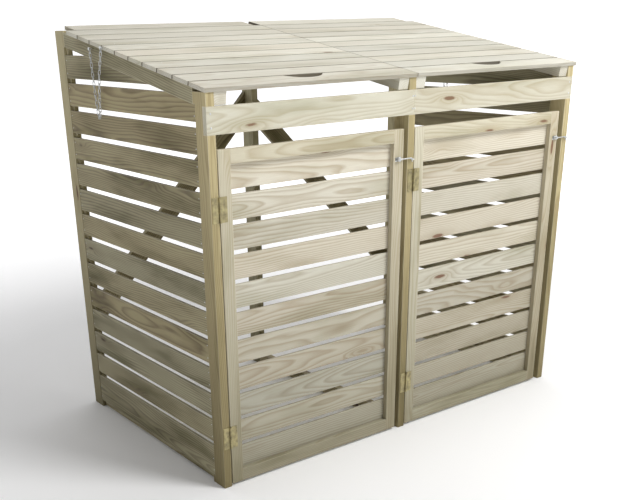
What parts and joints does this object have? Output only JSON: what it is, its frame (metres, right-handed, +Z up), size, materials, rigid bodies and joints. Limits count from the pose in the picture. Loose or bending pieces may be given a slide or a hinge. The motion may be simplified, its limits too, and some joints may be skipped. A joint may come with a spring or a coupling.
{
  "type": "wheeled bin store",
  "caption": "Slatted timber store for two wheeled bins, with two front doors on hooks and two sloping lids that lift on rear hinges and side chains",
  "frame": {"origin": "on the floor under the middle of the overall box", "axes": "+X to the right seen from the front, +Y from the doors to the rear, +Z up"},
  "size_m": [1.579, 0.9478, 1.3604],
  "materials": {
    "pine_posts": "planed pressure-treated softwood",
    "pine_header": "planed pressure-treated softwood",
    "pine_shaded": "planed pressure-treated softwood",
    "pine_door_frame": "planed pressure-treated softwood",
    "pine_door_slats": "planed pressure-treated softwood",
    "pine_lid": "planed pressure-treated softwood",
    "hinge_steel": "yellowed zinc plate",
    "zinc_steel": "bright zinc plate"
  },
  "bodies": {
    "frame": {"front_left_post": "pine_posts", "front_middle_post": "pine_posts", "front_right_post": "pine_posts", "rear_left_post": "pine_posts", "rear_middle_post": "pine_posts", "rear_right_post": "pine_posts", "left_header_board": "pine_header", "right_header_board": "pine_header", "left_side_slats": "pine_shaded", "right_side_slats": "pine_shaded", "left_top_rail": "pine_shaded", "middle_top_rail": "pine_shaded", "right_top_rail": "pine_shaded", "left_bottom_rail": "pine_shaded", "middle_bottom_rail": "pine_shaded", "right_bottom_rail": "pine_shaded", "rear_left_rail": "pine_shaded", "rear_right_rail": "pine_shaded", "rear_left_brace": "pine_shaded", "rear_right_brace": "pine_shaded", "header_screws": "zinc_steel", "left_hook_eye": "zinc_steel", "right_hook_eye": "zinc_steel", "left_chain_screw": "zinc_steel", "right_chain_screw": "zinc_steel", "left_lid_chain": "zinc_steel", "right_lid_chain": "zinc_steel", "left_door_post_leaves": "hinge_steel", "right_door_post_leaves": "hinge_steel", "left_door_hinge_pins": "hinge_steel", "right_door_hinge_pins": "hinge_steel", "left_lid_rail_leaves": "hinge_steel", "right_lid_rail_leaves": "hinge_steel"},
    "left_door": {"left_door_hinge_stile": "pine_door_frame", "left_door_latch_stile": "pine_door_frame", "left_door_top_rail": "pine_door_frame", "left_door_bottom_rail": "pine_door_frame", "left_door_slats": "pine_door_slats", "left_door_leaves": "hinge_steel", "left_hook_plate": "zinc_steel"},
    "left_hook": {"left_hook": "zinc_steel"},
    "left_lid": {"left_lid_front_board": "pine_lid", "left_lid_boards": "pine_lid", "left_lid_rails": "pine_lid", "left_lid_leaves": "hinge_steel", "left_lid_chain_screw": "zinc_steel"},
    "right_door": {"right_door_hinge_stile": "pine_door_frame", "right_door_latch_stile": "pine_door_frame", "right_door_top_rail": "pine_door_frame", "right_door_bottom_rail": "pine_door_frame", "right_door_slats": "pine_door_slats", "right_door_leaves": "hinge_steel", "right_hook_plate": "zinc_steel"},
    "right_hook": {"right_hook": "zinc_steel"},
    "right_lid": {"right_lid_front_board": "pine_lid", "right_lid_boards": "pine_lid", "right_lid_rails": "pine_lid", "right_lid_leaves": "hinge_steel", "right_lid_chain_screw": "zinc_steel"}
  },
  "joints": [
    {"name": "left_door_hinge", "type": "hinge", "parent": "frame", "child": "left_door", "pos_m": [-0.7455, -0.46182, 0.52], "axis": [0, 0, -1], "range_deg": [0, 100]},
    {"name": "right_door_hinge", "type": "hinge", "parent": "frame", "child": "right_door", "pos_m": [0.0025, -0.46182, 0.52], "axis": [0, 0, -1], "range_deg": [0, 100]},
    {"name": "left_hook_pivot", "type": "hinge", "parent": "left_door", "child": "left_hook", "pos_m": [-0.068, -0.46613, 0.948], "axis": [0, -1, 0], "range_deg": [0, 100]},
    {"name": "right_hook_pivot", "type": "hinge", "parent": "right_door", "child": "right_hook", "pos_m": [0.706, -0.46613, 0.948], "axis": [0, -1, 0], "range_deg": [0, 100]},
    {"name": "left_lid_hinge", "type": "hinge", "parent": "frame", "child": "left_lid", "pos_m": [-0.39, 0.46587, 1.34682], "axis": [-1, 0, 0], "range_deg": [0, 80]},
    {"name": "right_lid_hinge", "type": "hinge", "parent": "frame", "child": "right_lid", "pos_m": [0.391, 0.46587, 1.34682], "axis": [-1, 0, 0], "range_deg": [0, 80]}
  ]
}
